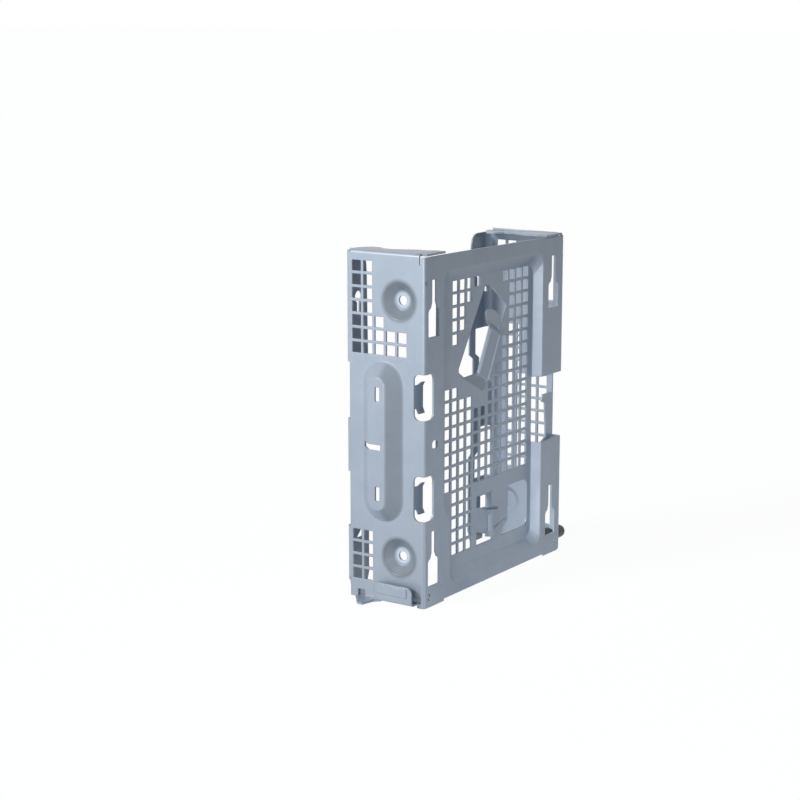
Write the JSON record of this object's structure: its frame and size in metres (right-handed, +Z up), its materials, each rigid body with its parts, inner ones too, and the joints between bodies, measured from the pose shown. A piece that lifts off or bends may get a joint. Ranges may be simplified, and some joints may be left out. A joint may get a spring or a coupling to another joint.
{
  "type": "hard drive bracket",
  "caption": "Folded and perforated steel cage that holds one 3.5 inch hard drive in a computer case, with keyhole slots, hooks and a locating stud.",
  "frame": {"origin": "bottom centre of the bounding box, on the plane that the feet stand on", "axes": "+X along the front panel towards the locating stud, +Y back from the front panel into the drive bay, +Z up along the drive's length"},
  "size_m": [0.126, 0.038, 0.1394],
  "materials": {
    "galvanised_steel": "satin galvanised",
    "dark_stud": "satin, dark plated"
  },
  "bodies": {
    "root": {"drive_bracket": "galvanised_steel", "locating_stud": "dark_stud"}
  },
  "joints": []
}
